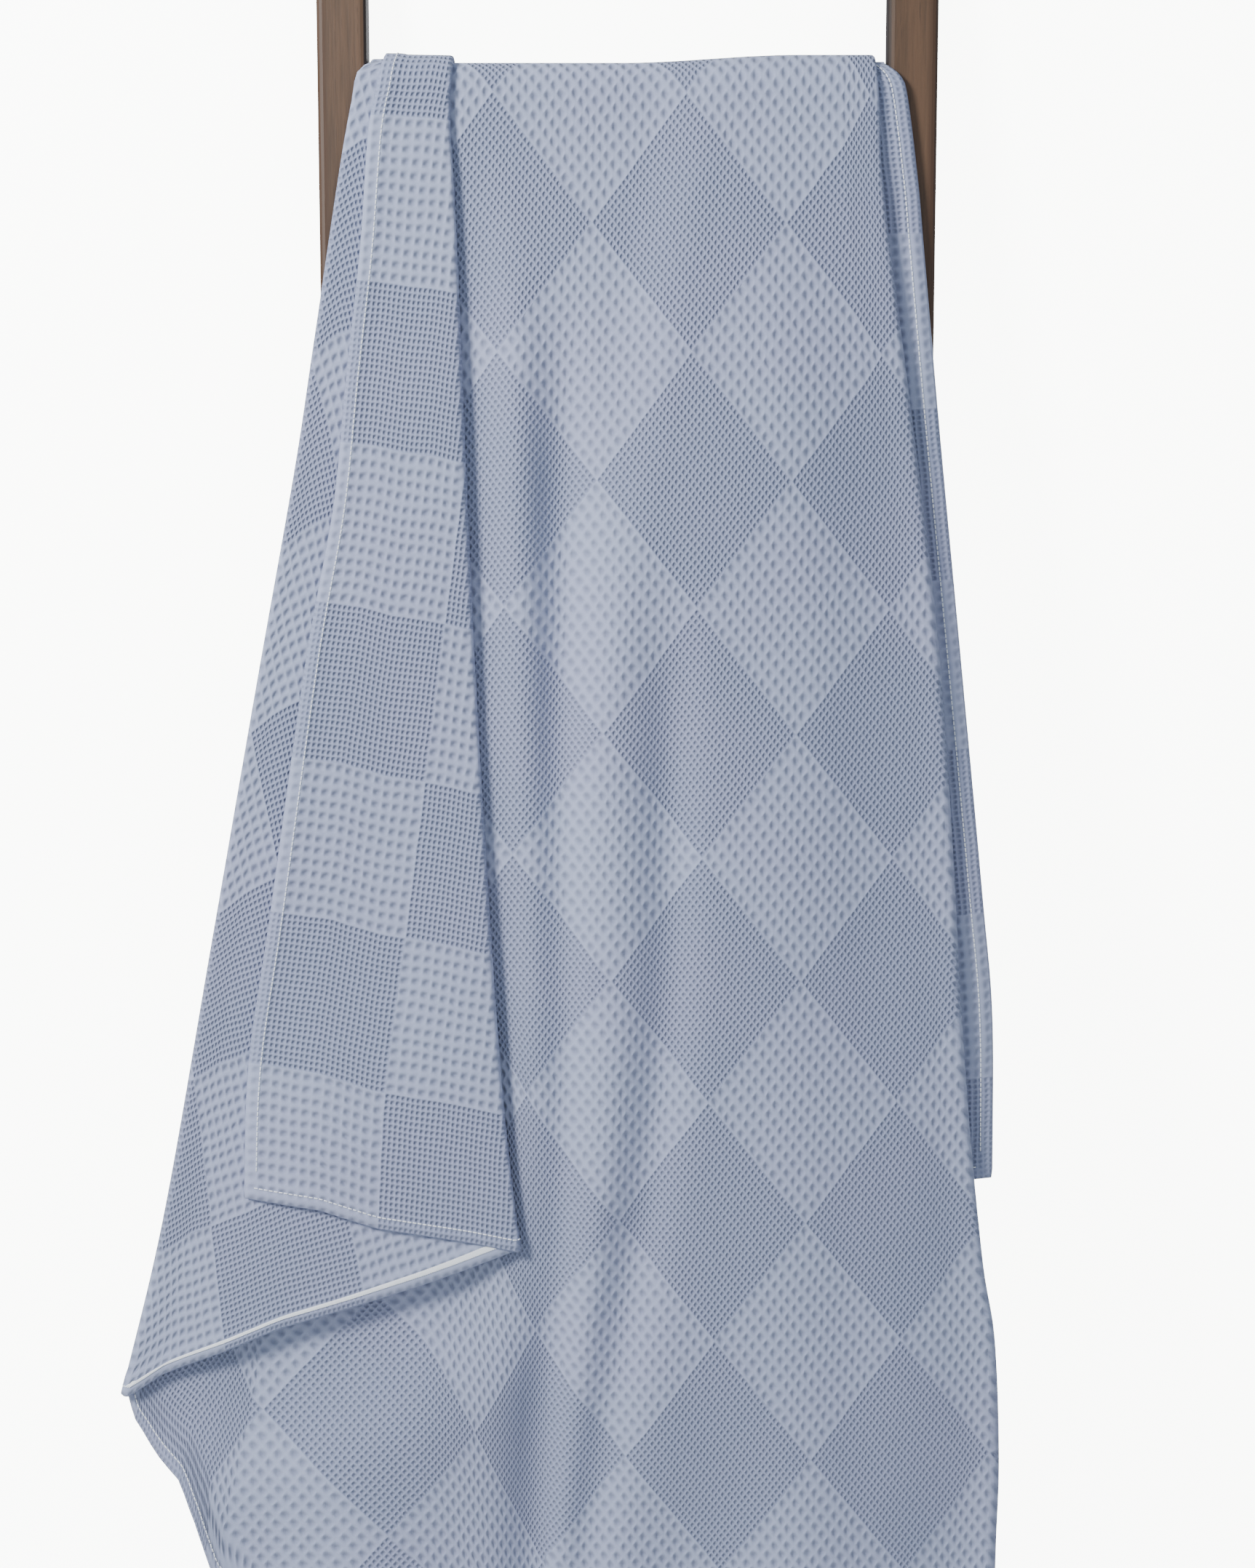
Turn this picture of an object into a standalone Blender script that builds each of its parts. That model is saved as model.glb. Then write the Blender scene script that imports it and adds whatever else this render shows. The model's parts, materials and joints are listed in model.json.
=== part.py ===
"""A woven quilt hung cornerwise over the top rung of a leaning wooden blanket rack.

Metres, +Z up, +X to the right of someone facing the rack, +Y towards the wall it leans on.
The origin is on the floor, midway between the two rails.
"""

import math

import bmesh
import bpy
from mathutils import Vector

# Rack
LEAN = math.radians(8.0)  # the rack's lean from upright
GAP = 0.0003  # clearance between pieces that touch
RAIL_WIDTH = 0.040
RAIL_DEPTH = 0.026
RAIL_LENGTH = 1.98
RAIL_SPACING = 0.412  # clear width between the rails
RAIL_EDGE = 0.005  # rounding of the rails' edges
EDGE_SEGMENTS = 3
FACET_LENGTH = 0.045  # upright facet at the back of each rail's top end

RUNG_DIAMETER = 0.030
RUNG_COUNT = 5
RUNG_SPACING = 0.375
RUNG_BELOW_TOP = 0.130  # top rung's axis below the rails' top ends
RUNG_EDGE = 0.001
TENON_DIAMETER = 0.020
TENON_LENGTH = 0.015
TENON_EDGE = 0.001
RUNG_SIDES = 20

# Fasteners
SCREW_DIAMETER = 0.006
SCREW_LENGTH = 0.052  # under the head
SCREW_TIP = 0.002
SCREW_SIDES = 10
HEAD_DIAMETER = 0.010
HEAD_HEIGHT = 0.0045
SOCKET_DIAMETER = 0.004
SOCKET_DEPTH = 0.0025
CAP_DIAMETER = 0.012
CAP_LENGTH = 0.005
CAP_EDGE = 0.0008

# Pads
FOOT_THICKNESS = 0.004
FOOT_INSET = 0.003
WALL_PAD_THICKNESS = 0.003
WALL_PAD_INSET = 0.0015
PAD_CORNER = 0.003

# Quilt
QUILT_SIDE_GAP = 0.0020  # between the quilt's edge and a rail, on the rung
QUILT_SINGLE = 0.0060  # depth of one layer with its slack
QUILT_FOLDED = 0.0140  # depth where its corners are folded to three layers
QUILT_WAVES = 0.0100  # more depth lower down, for its hanging waves
WAVES_FULL_AT = 0.80  # drop below the rung where that depth is reached
FOLD_LEFT = 0.30  # share of the width that the left corner's folds take
FOLD_RIGHT = 0.30
FOLD_BLEND = 0.12
COLUMNS = 12
FRONT_ROWS = 16
RUNG_ROWS = 10
BACK_ROWS = 6

# Outline points are (x, drop below the rung's axis along the rack).
FRONT_LEFT = (
    (-0.2180, 0.013), (-0.2379, 0.121), (-0.2520, 0.209), (-0.3017, 0.476),
    (-0.3422, 0.687), (-0.3872, 0.920), (-0.4257, 1.073),
)
FRONT_RIGHT = (
    (0.2200, 0.012), (0.2345, 0.130), (0.2495, 0.275), (0.2688, 0.451),
    (0.2900, 0.647), (0.3020, 0.800), (0.3027, 0.890), (0.3110, 1.455),
)
FRONT_HEM = (
    (-0.4257, 1.073), (-0.3853, 1.132), (-0.3467, 1.228), (-0.1350, 1.501),
    (0.0770, 1.774), (0.3110, 1.455),
)
BACK_CORNER_X = 0.055
BACK_CORNER_DROP = 0.520
BACK_CORNER_WIDTH = 0.024

SIN, COS = math.sin(LEAN), math.cos(LEAN)
RAIL_X = (RAIL_SPACING + RAIL_WIDTH) / 2
TOP_RUNG_Z = RAIL_LENGTH - RUNG_BELOW_TOP
RUNG_HEIGHTS = [TOP_RUNG_Z - i * RUNG_SPACING for i in range(RUNG_COUNT)]
SCREW_SEAT = CAP_LENGTH + HEAD_HEIGHT + 2 * GAP  # depth of the counterbore
QUILT_RADIUS = (max(RUNG_DIAMETER, RAIL_DEPTH) / 2 + GAP) / math.cos(
    (math.pi - LEAN) / (2 * RUNG_ROWS)
)


def clear_scene():
    for old in list(bpy.data.objects):
        bpy.data.objects.remove(old, do_unlink=True)


def material(name, colour, roughness, metallic=0.0):
    made = bpy.data.materials.new(name)
    made.use_nodes = True
    shader = made.node_tree.nodes["Principled BSDF"]
    shader.inputs["Base Color"].default_value = (*colour, 1.0)
    shader.inputs["Roughness"].default_value = roughness
    shader.inputs["Metallic"].default_value = metallic
    return made


def add_object(name, mesh, finish=None, parent=None, location=(0.0, 0.0, 0.0)):
    made = bpy.data.objects.new(name, mesh)
    made.parent = parent
    made.location = location
    if finish:
        mesh.materials.append(finish)
    bpy.context.scene.collection.objects.link(made)
    return made


def mesh_from(bm, name, smooth_angle=None):
    bmesh.ops.recalc_face_normals(bm, faces=bm.faces)
    mesh = bpy.data.meshes.new(name)
    bm.to_mesh(mesh)
    bm.free()
    if smooth_angle:
        mesh.shade_smooth()
        mesh.set_sharp_from_angle(angle=smooth_angle)
    return mesh


def turn_profile(bm, profile, sides):
    """Adds a solid turned about X from (x, radius) points that start and end on the axis."""
    points = [bm.verts.new((x, radius, 0.0)) for x, radius in profile]
    edges = [bm.edges.new(pair) for pair in zip(points, points[1:])]
    bmesh.ops.spin(
        bm, geom=points + edges, cent=(0, 0, 0), axis=(1, 0, 0),
        angle=math.tau, steps=sides, use_merge=True,
    )
    bmesh.ops.remove_doubles(bm, verts=bm.verts, dist=1e-6)


def turned_mesh(name, profile, sides):
    bm = bmesh.new()
    turn_profile(bm, profile, sides)
    return mesh_from(bm, name, math.radians(40))


def cut_height(y, floor):
    """Height along a rail, at depth y, where it meets the level plane at height floor."""
    return (floor + y * SIN) / COS


def rail_mesh(name):
    half = RAIL_DEPTH / 2
    facet_depth = half - FACET_LENGTH * math.tan(LEAN)
    side = [
        (-half, cut_height(-half, FOOT_THICKNESS)),
        (half, cut_height(half, FOOT_THICKNESS)),
        (half, RAIL_LENGTH - FACET_LENGTH),
        (facet_depth, RAIL_LENGTH),
        (-half, RAIL_LENGTH),
    ]
    bm = bmesh.new()
    outline = [bm.verts.new((-RAIL_WIDTH / 2, y, z)) for y, z in side]
    face = bm.faces.new(outline)
    grown = bmesh.ops.extrude_face_region(bm, geom=[face])["geom"]
    moved = [item for item in grown if isinstance(item, bmesh.types.BMVert)]
    bmesh.ops.translate(bm, verts=moved, vec=(RAIL_WIDTH, 0, 0))
    bmesh.ops.recalc_face_normals(bm, faces=bm.faces)
    bottom = min(bm.faces, key=lambda f: f.calc_center_median().z)
    rounded = [
        edge for edge in bm.edges
        if bottom not in edge.link_faces and edge.calc_face_angle() > math.radians(30)
    ]
    bmesh.ops.bevel(
        bm, geom=rounded, offset=RAIL_EDGE, segments=EDGE_SEGMENTS,
        profile=0.5, affect="EDGES", clamp_overlap=True,
    )
    return mesh_from(bm, name, math.radians(35))


def joint_cutter(name, parent, location, outward):
    """Stepped hole for each rung: counterbore, screw hole and tenon socket, along X."""
    outer, inner = RAIL_WIDTH / 2, -RAIL_WIDTH / 2
    cap = CAP_DIAMETER / 2 + GAP
    shank = SCREW_DIAMETER / 2 + GAP
    tenon = TENON_DIAMETER / 2 + GAP
    seat = outer - SCREW_SEAT
    socket = inner + TENON_LENGTH + GAP
    past = RAIL_EDGE
    profile = [
        (outer + past, 0.0), (outer + past, cap), (seat, cap), (seat, shank),
        (socket, shank), (socket, tenon), (inner - past, tenon), (inner - past, 0.0),
    ]
    bm = bmesh.new()
    for height in RUNG_HEIGHTS:
        one = bmesh.new()
        turn_profile(one, [(outward * x, r) for x, r in profile], RUNG_SIDES)
        bmesh.ops.translate(one, verts=one.verts, vec=(0, 0, height))
        part = mesh_from(one, "hole")
        bm.from_mesh(part)
        bpy.data.meshes.remove(part)
    cutter = add_object(name, mesh_from(bm, name), parent=parent, location=location)
    cutter.hide_render = True
    cutter.display_type = "WIRE"
    return cutter


def build_rail(name, outward, rack, wood):
    place = (outward * RAIL_X, 0.0, 0.0)
    rail = add_object(name, rail_mesh(name), wood, rack, place)
    cut = rail.modifiers.new("rung_joints", "BOOLEAN")
    cut.operation = "DIFFERENCE"
    cut.solver = "EXACT"
    cut.object = joint_cutter(name + "_holes", rack, place, outward)


def rung_profile():
    """Half of a rung from its middle outwards, as (x, radius), with the screw's pilot hole."""
    shoulder = RAIL_SPACING / 2 - GAP
    end = RAIL_SPACING / 2 + TENON_LENGTH
    rail_wood = RAIL_WIDTH - SCREW_SEAT - TENON_LENGTH - GAP
    pilot_floor = end - (SCREW_LENGTH - rail_wood)
    body, tenon = RUNG_DIAMETER / 2, TENON_DIAMETER / 2
    pilot = SCREW_DIAMETER / 2 + GAP
    return [
        (shoulder - RUNG_EDGE, body), (shoulder, body - RUNG_EDGE), (shoulder, tenon),
        (end - TENON_EDGE, tenon), (end, tenon - TENON_EDGE), (end, pilot),
        (pilot_floor, pilot), (pilot_floor, 0.0),
    ]


def build_rungs(rack, wood):
    half = rung_profile()
    mesh = turned_mesh("rung", [(-x, r) for x, r in reversed(half)] + half, RUNG_SIDES)
    mesh.materials.append(wood)
    for number, height in enumerate(RUNG_HEIGHTS, 1):
        add_object(f"rung_{number}", mesh, parent=rack, location=(0, 0, height))


def screw_profile():
    """A socket-head screw from the bottom of its socket to its tip, head towards +X."""
    head, shank, socket = HEAD_DIAMETER / 2, SCREW_DIAMETER / 2, SOCKET_DIAMETER / 2
    return [
        (HEAD_HEIGHT - SOCKET_DEPTH, 0.0), (HEAD_HEIGHT - SOCKET_DEPTH, socket),
        (HEAD_HEIGHT, socket), (HEAD_HEIGHT, head), (0.0, head), (0.0, shank),
        (SCREW_TIP - SCREW_LENGTH, shank), (-SCREW_LENGTH, shank / 2), (-SCREW_LENGTH, 0.0),
    ]


def cap_profile():
    """A round wooden cap that closes the counterbore, its face towards +X."""
    radius = CAP_DIAMETER / 2
    return [
        (CAP_LENGTH, 0.0), (CAP_LENGTH, radius - CAP_EDGE), (CAP_LENGTH - CAP_EDGE, radius),
        (0.0, radius), (0.0, 0.0),
    ]


def build_fasteners(rack, steel, wood):
    screw_x = RAIL_X + RAIL_WIDTH / 2 - SCREW_SEAT + GAP
    cap_x = RAIL_X + RAIL_WIDTH / 2 - CAP_LENGTH
    for side, outward in (("left", -1), ("right", 1)):
        screw = turned_mesh("screw", [(outward * x, r) for x, r in screw_profile()], SCREW_SIDES)
        cap = turned_mesh("cap", [(outward * x, r) for x, r in cap_profile()], SCREW_SIDES)
        screw.materials.append(steel)
        cap.materials.append(wood)
        for number, height in enumerate(RUNG_HEIGHTS, 1):
            at = (outward * screw_x, 0, height)
            add_object(f"{side}_screw_{number}", screw, parent=rack, location=at)
            at = (outward * cap_x, 0, height)
            add_object(f"{side}_screw_cap_{number}", cap, parent=rack, location=at)


def pad_mesh(name, size):
    """A flat block whose corners are rounded as seen along its thin side."""
    thin = size.index(min(size))
    bm = bmesh.new()
    bmesh.ops.create_cube(bm, size=1.0)
    corners = [
        edge for edge in bm.edges
        if abs(edge.verts[0].co[thin] - edge.verts[1].co[thin]) > 0.5
    ]
    bmesh.ops.scale(bm, verts=bm.verts, vec=size)
    bmesh.ops.bevel(
        bm, geom=corners, offset=PAD_CORNER, segments=EDGE_SEGMENTS, profile=0.5, affect="EDGES"
    )
    return mesh_from(bm, name, math.radians(35))


def build_pads(rubber):
    foot = (
        RAIL_WIDTH - 2 * FOOT_INSET, RAIL_DEPTH / COS - 2 * FOOT_INSET, FOOT_THICKNESS - GAP
    )
    foot_y = FOOT_THICKNESS * math.tan(LEAN)
    flat = FACET_LENGTH / COS
    wall = (
        RAIL_WIDTH - 2 * (RAIL_EDGE + WALL_PAD_INSET), WALL_PAD_THICKNESS - GAP,
        flat - RAIL_EDGE - 2 * WALL_PAD_INSET,
    )
    facet_y = (RAIL_LENGTH - FACET_LENGTH) * SIN + RAIL_DEPTH / 2 * COS
    facet_low = (RAIL_LENGTH - FACET_LENGTH) * COS - RAIL_DEPTH / 2 * SIN
    wall_y = facet_y + GAP + wall[1] / 2
    wall_z = facet_low + WALL_PAD_INSET + wall[2] / 2
    for side, outward in (("left", -1), ("right", 1)):
        x = outward * RAIL_X
        name = f"{side}_foot_pad"
        add_object(name, pad_mesh(name, foot), rubber, location=(x, foot_y, foot[2] / 2))
        name = f"{side}_wall_pad"
        add_object(name, pad_mesh(name, wall), rubber, location=(x, wall_y, wall_z))


def along(points, share):
    """The point at a share from 0 to 1 of the length of a polyline."""
    points = [Vector(p) for p in points]
    steps = [(b - a).length for a, b in zip(points, points[1:])]
    left = share * sum(steps)
    for start, end, step in zip(points, points[1:], steps):
        if left <= step:
            return start.lerp(end, left / step)
        left -= step
    return points[-1]


def patch(top, bottom, left, right, across, down):
    """The point of a four-sided patch between polylines that share their ends."""
    sides = along(left, down).lerp(along(right, down), across)
    ends = along(top, across).lerp(along(bottom, across), down)
    corners = Vector(top[0]).lerp(Vector(top[-1]), across).lerp(
        Vector(bottom[0]).lerp(Vector(bottom[-1]), across), down
    )
    return sides + ends - corners


def smooth(value):
    value = min(max(value, 0.0), 1.0)
    return value * value * (3 - 2 * value)


def quilt_depth(across, drop):
    """Depth of the folded cloth at a share across it and a drop below the rung."""
    left = smooth((FOLD_LEFT + FOLD_BLEND - across) / FOLD_BLEND)
    right = smooth((across - 1 + FOLD_RIGHT + FOLD_BLEND) / FOLD_BLEND)
    folded = QUILT_SINGLE + (QUILT_FOLDED - QUILT_SINGLE) * max(left, right)
    return folded + QUILT_WAVES * smooth(drop / WAVES_FULL_AT)


def quilt_sections():
    """Rows of (x, y, z) pairs in the rack's own axes, inner and outer, front hem to back corner."""
    edge = RAIL_SPACING / 2 - QUILT_SIDE_GAP
    top = ((-edge, 0.0), (edge, 0.0))
    front = (top, FRONT_HEM, (top[0], *FRONT_LEFT), (top[1], *FRONT_RIGHT))
    corner = [
        (BACK_CORNER_X + side * BACK_CORNER_WIDTH / 2, BACK_CORNER_DROP) for side in (-1, 1)
    ]
    back = (top, corner, (top[0], corner[0]), (top[1], corner[1]))
    shares = [i / COLUMNS for i in range(COLUMNS + 1)]

    def pair(x, across, drop, angle, run):
        out = Vector((0.0, -math.cos(angle), math.sin(angle)))
        down = Vector((0.0, -math.sin(angle), -math.cos(angle)))
        if angle > math.pi / 2:
            down = -down
        inner = Vector((x, 0.0, TOP_RUNG_Z)) + out * QUILT_RADIUS + down * run
        return inner, inner + out * quilt_depth(across, drop)

    rows = []
    for step in range(FRONT_ROWS, 0, -1):
        share = (step / FRONT_ROWS) ** 1.4
        points = [patch(*front, a, share) for a in shares]
        rows.append([pair(p.x, a, p.y, 0.0, p.y) for p, a in zip(points, shares)])
    for step in range(RUNG_ROWS + 1):
        angle = (math.pi - LEAN) * step / RUNG_ROWS
        rows.append([pair(-edge + 2 * edge * a, a, 0.0, angle, 0.0) for a in shares])
    for step in range(1, BACK_ROWS + 1):
        points = [patch(*back, a, step / BACK_ROWS) for a in shares]
        rows.append([pair(p.x, a, 0.0, math.pi - LEAN, p.y) for p, a in zip(points, shares)])
    return rows


def build_quilt(rack, cloth):
    rows = quilt_sections()
    bm = bmesh.new()
    shells = [[[bm.verts.new(pair[k]) for pair in row] for row in rows] for k in (0, 1)]
    last = COLUMNS
    for shell in shells:
        for low, high in zip(shell, shell[1:]):
            for i in range(last):
                bm.faces.new((low[i], low[i + 1], high[i + 1], high[i]))
    inner, outer = shells
    for j in range(len(rows) - 1):
        for i in (0, last):
            bm.faces.new((inner[j][i], inner[j + 1][i], outer[j + 1][i], outer[j][i]))
    for i in range(last):
        for j in (0, -1):
            bm.faces.new((inner[j][i], inner[j][i + 1], outer[j][i + 1], outer[j][i]))
    add_object("quilt", mesh_from(bm, "quilt", math.radians(40)), cloth, rack)


def main():
    clear_scene()
    wood = material("stained_wood", (0.075, 0.038, 0.018), 0.45)
    steel = material("zinc_steel", (0.60, 0.60, 0.58), 0.35, 1.0)
    rubber = material("black_rubber", (0.03, 0.03, 0.03), 0.8)
    cloth = material("blue_grey_cotton", (0.36, 0.40, 0.48), 0.9)

    rack = bpy.data.objects.new("rack", None)
    rack.rotation_euler = (-LEAN, 0.0, 0.0)
    bpy.context.scene.collection.objects.link(rack)

    build_rail("left_rail", -1, rack, wood)
    build_rail("right_rail", 1, rack, wood)
    build_rungs(rack, wood)
    build_fasteners(rack, steel, wood)
    build_pads(rubber)
    build_quilt(rack, cloth)


main()
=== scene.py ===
"""Finishes the quilt on a rack: its folded cloth, weave and stitching, the wood, and the stage."""

import json
import math

import bmesh
import bpy
import numpy as np
from mathutils import Matrix, Vector


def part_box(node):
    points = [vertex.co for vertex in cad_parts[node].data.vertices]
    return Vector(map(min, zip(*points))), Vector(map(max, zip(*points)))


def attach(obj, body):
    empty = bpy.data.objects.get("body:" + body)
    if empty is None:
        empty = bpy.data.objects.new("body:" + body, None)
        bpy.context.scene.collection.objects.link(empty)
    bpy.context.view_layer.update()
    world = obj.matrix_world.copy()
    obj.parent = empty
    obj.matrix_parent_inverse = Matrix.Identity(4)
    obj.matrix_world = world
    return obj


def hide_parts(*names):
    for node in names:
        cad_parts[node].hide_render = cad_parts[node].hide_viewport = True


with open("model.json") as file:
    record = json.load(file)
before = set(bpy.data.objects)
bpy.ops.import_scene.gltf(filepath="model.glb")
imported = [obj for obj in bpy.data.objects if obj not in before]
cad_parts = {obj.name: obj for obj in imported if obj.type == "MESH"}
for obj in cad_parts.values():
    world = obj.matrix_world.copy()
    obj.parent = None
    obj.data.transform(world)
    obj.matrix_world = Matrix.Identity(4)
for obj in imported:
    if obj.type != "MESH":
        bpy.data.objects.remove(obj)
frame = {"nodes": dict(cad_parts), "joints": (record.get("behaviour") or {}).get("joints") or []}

bl_info = {
    "name": "Quilt on a Rack",
    "version": (1, 0, 0),
    "blender": (4, 5, 0),
    "location": "View3D > Sidebar > Quilt",
    "description": "Folded waffle-weave quilt hung over a leaning wooden rack",
    "category": "Object",
}

RUNG_NAMES = [f"rung_{number}" for number in range(1, 6)]
SIDES = ("left", "right")
CAP_NAMES = [f"{side}_screw_cap_{n}" for side in SIDES for n in range(1, 6)]
PAD_NAMES = [f"{side}_{kind}_pad" for side in SIDES for kind in ("foot", "wall")]
SCREW_NAMES = [f"{side}_screw_{n}" for side in SIDES for n in range(1, 6)]

# The rack's own axes lean back by this much. Heights along it start at the floor.
SLIDE = frame["joints"][0]["axis"]
LEAN = math.atan2(SLIDE[1], SLIDE[2])
SIN, COS = math.sin(LEAN), math.cos(LEAN)


def rack_height(node):
    """Height along the rack of the middle of a node that crosses it."""
    low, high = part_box(node)
    middle = (Vector(low) + Vector(high)) / 2
    return middle.y * SIN + middle.z * COS


RUNG_HEIGHTS = [rack_height(name) for name in RUNG_NAMES]
TOP_RUNG = max(RUNG_HEIGHTS)
RUNG_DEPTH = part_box("rung_1")[1][1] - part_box("rung_1")[0][1]
LEAN_MATRIX = Matrix.Rotation(-LEAN, 4, "X")

# The cloth, cut flat. Its checks are squares, and the first ones start a little before the hems.
CLOTH_WIDTH = 1.471
CLOTH_LENGTH = 1.546
CHECK = 0.128
CHECK_START = 0.016

# Where the folds and hems lie on the flat cloth, in metres from its two hems.
LEFT_HEM_TOP, LEFT_HEM_END = (0.0, 0.926), (0.0, 0.0)
FRONT_FOLD_TOP, FRONT_FOLD_END = (0.0530, 0.926), (0.230, 0.0)
LEFT_FOLD_END = (0.598, 0.0)
RIGHT_FOLD_END = (CLOTH_WIDTH, 0.4077)
BACK_FOLD_TOP, BACK_FOLD_END = (0.632, 1.437), (CLOTH_WIDTH, 1.175)
RIGHT_HEM_TOP, RIGHT_HEM_END = (0.620, CLOTH_LENGTH), (CLOTH_WIDTH, CLOTH_LENGTH)

# Outlines of the hung cloth: (x, drop below the top rung's axis along the rack).
LEFT_HEM = (
    (-0.1912, -0.020), (-0.1955, 0.0015), (-0.2028, 0.038), (-0.2103, 0.128), (-0.2226, 0.228),
    (-0.2346, 0.333), (-0.2581, 0.455), (-0.2906, 0.661), (-0.3108, 0.788), (-0.3160, 0.899),
)
FRONT_FOLD = (
    (-0.1377, -0.020), (-0.1398, 0.029), (-0.1354, 0.122), (-0.1226, 0.478), (-0.1052, 0.784),
    (-0.0893, 0.944),
)
LEFT_FOLD = (
    (-0.2040, -0.020), (-0.2136, -0.009), (-0.2179, 0.013), (-0.2278, 0.064), (-0.2520, 0.209),
    (-0.2681, 0.304), (-0.3017, 0.476), (-0.3422, 0.687), (-0.3872, 0.920), (-0.4257, 1.073),
)
RIGHT_FOLD = (
    (0.1963, -0.020), (0.1991, 0.023), (0.2059, 0.109), (0.2523, 0.451), (0.2779, 0.782),
    (0.2954, 0.950), (0.3074, 1.024), (0.3127, 1.129), (0.3112, 1.228), (0.3110, 1.455),
)
BACK_FOLD = ((0.0950, -0.020), (-0.0670, 0.926))
RIGHT_HEM = (
    (0.2035, -0.020), (0.2143, -0.007), (0.2200, 0.0115), (0.2290, 0.076), (0.2345, 0.130),
    (0.2495, 0.275), (0.2688, 0.451), (0.2900, 0.647), (0.3003, 0.752), (0.3027, 0.886),
)
FRONT_FLAP_HEM = (
    LEFT_HEM[-1], (-0.2551, 0.908), (-0.2058, 0.924), (-0.1261, 0.937), FRONT_FOLD[-1],
)
SECOND_FLAP_HEM = (
    FRONT_FOLD[-1], (-0.1699, 0.973), (-0.2340, 0.994), (-0.2909, 1.011), (-0.3382, 1.032),
    (-0.3924, 1.053), LEFT_FOLD[-1],
)
LOW_CORNER = (0.077, 1.774)
LOW_HEM = (
    LEFT_FOLD[-1], (-0.4205, 1.0945), (-0.3990, 1.1225), (-0.3750, 1.145), (-0.3617, 1.1785),
    (-0.3467, 1.228), LOW_CORNER, RIGHT_FOLD[-1],
)

# Where the cloth goes over the rung and hangs behind it.
ARC_RADIUS = 0.020
ARC_LENGTH = ARC_RADIUS * (math.pi - LEAN)
FRONT_TOP = -0.020  # the front's rows end here, on the way over the rung
BACK_CORNER_X = 0.055
BACK_DROP = 0.505
BACK_TAPER = 0.965  # the corner is blunt, not a point

# Depth of each layer's middle, in front of the top rung's axis.
NEAR_RACK = 0.0178
SECOND_LAYER = 0.0222
THIRD_LAYER = 0.0268
WAVE_DEPTH = 0.0195  # of the main panel's hanging waves
FLAP_STAND = 0.0120  # how far the flaps stand off at their hems

HEM_EDGE = 0.0165  # distance in from the edge where the turned hem starts to thicken
HEM_SLOPE = 0.004  # width of the slope up to it
ROUND_EDGE = 0.75  # how far the rim's middle stands out, in half thicknesses
OVERLOCK_REACH = 0.009  # the longest stitch of the overlock
THREAD_LIFT = 0.3  # how far a thread stands off the hem, in its own radii

FRONT_ROWS = 150
ARC_ROWS = 12
BACK_ROWS = 24
FOLD_STEPS = 6
FOLD_EASE = 7  # columns on each side of a fold that give it room
FOLD_SKIN = 0.0015  # half the cloth's thickness
RUNG_SQUEEZE = 0.32  # how far the layers are pressed together on the rung
CURVE_STEPS = 24  # points to each stretch of a smooth outline
PANEL_COLUMNS = (26, 38, 100, 30, 26)  # from the left hem's panel to the right one's
HEM_COLUMNS = 14  # searched for a line of thread beside a side hem
HEM_ROWS = 12  # the same, above a lower hem
HEM_END_ROWS = 4  # left without thread beside a side hem's lower end

THREAD_SIDES = 5
STITCH_SIDES = 6
RUNG_SIDES = 48
CAP_SIDES = 32
RAIL_GAP = 0.0003  # between a rung's shoulder and the rail

FLOOR_HALF = 9.0
WALL_HALF = 5.0
WALL_HEIGHT = 5.0


def find_fabric(x, drop):
    """Place on the flat cloth of a point of the main panel, as metres from its two hems."""
    return (0.3246 + 0.8316 * x + 0.6106 * drop, 1.1011 + 0.8465 * x - 0.6572 * drop)


def ease(value):
    value = np.clip(value, 0.0, 1.0)
    return value * value * (3 - 2 * value)


def bump_at(value, centre, width):
    return np.exp(-(((value - centre) / width) ** 2))


def trace(points, shares):
    """Points at shares of the length of a smooth curve through the given points."""
    points = np.asarray(points, float)
    if len(points) > 2:
        ends = np.vstack([2 * points[0] - points[1], points, 2 * points[-1] - points[-2]])
        t = np.linspace(0, 1, CURVE_STEPS, endpoint=False)[:, None]
        pieces = []
        for a, b, c, d in zip(ends, ends[1:], ends[2:], ends[3:]):
            pieces.append(0.5 * (
                2 * b + (c - a) * t + (2 * a - 5 * b + 4 * c - d) * t**2
                + (3 * b - a - 3 * c + d) * t**3
            ))
        points = np.vstack([*pieces, points[-1:]])
    return trace_straight(points, shares)


def trace_straight(points, shares):
    """Points at shares of the length of a line of straight runs, in x and drop."""
    points = np.asarray(points, float)
    run = np.r_[0, np.cumsum(np.hypot(*np.diff(points[:, :2], axis=0).T))]
    wanted = np.asarray(shares) * run[-1]
    return np.stack([np.interp(wanted, run, points[:, k]) for k in range(points.shape[1])], 1)


def with_fabric(points, shares, start, end, straight=False):
    """A traced outline with the cloth's two coordinates running evenly along it."""
    shares = np.asarray(shares, float)
    place = (trace_straight if straight else trace)(points, shares)
    fabric = np.outer(1 - shares, start) + np.outer(shares, end)
    return np.hstack([place, fabric])


def main_fold_with_fabric(points, shares, end):
    """A side of the main panel: its fabric follows the panel and closes on its lower corner."""
    place = trace(points, shares)
    fabric = np.stack(find_fabric(place[:, 0], place[:, 1]), 1)
    miss = np.asarray(end) - fabric[-1]
    return np.hstack([place, fabric + np.outer(np.asarray(shares) ** 2, miss)])


def blend_panel(top, bottom, left, right, across, down):
    """Fills the panel between four matching sides, in rows from top to bottom."""
    a, d = across[None, :, None], down[:, None, None]
    sides = left[:, None] * (1 - a) + right[:, None] * a
    ends = top[None] * (1 - d) + bottom[None] * d
    high, low = top[0] * (1 - a) + top[-1] * a, bottom[0] * (1 - a) + bottom[-1] * a
    return sides + ends - (high * (1 - d) + low * d)


def back_fold_x(drop):
    """Where the hidden fold behind the main panel lies at a drop."""
    (x0, y0), (x1, y1) = BACK_FOLD
    return x0 + (x1 - x0) * (drop - y0) / (y1 - y0)


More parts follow.
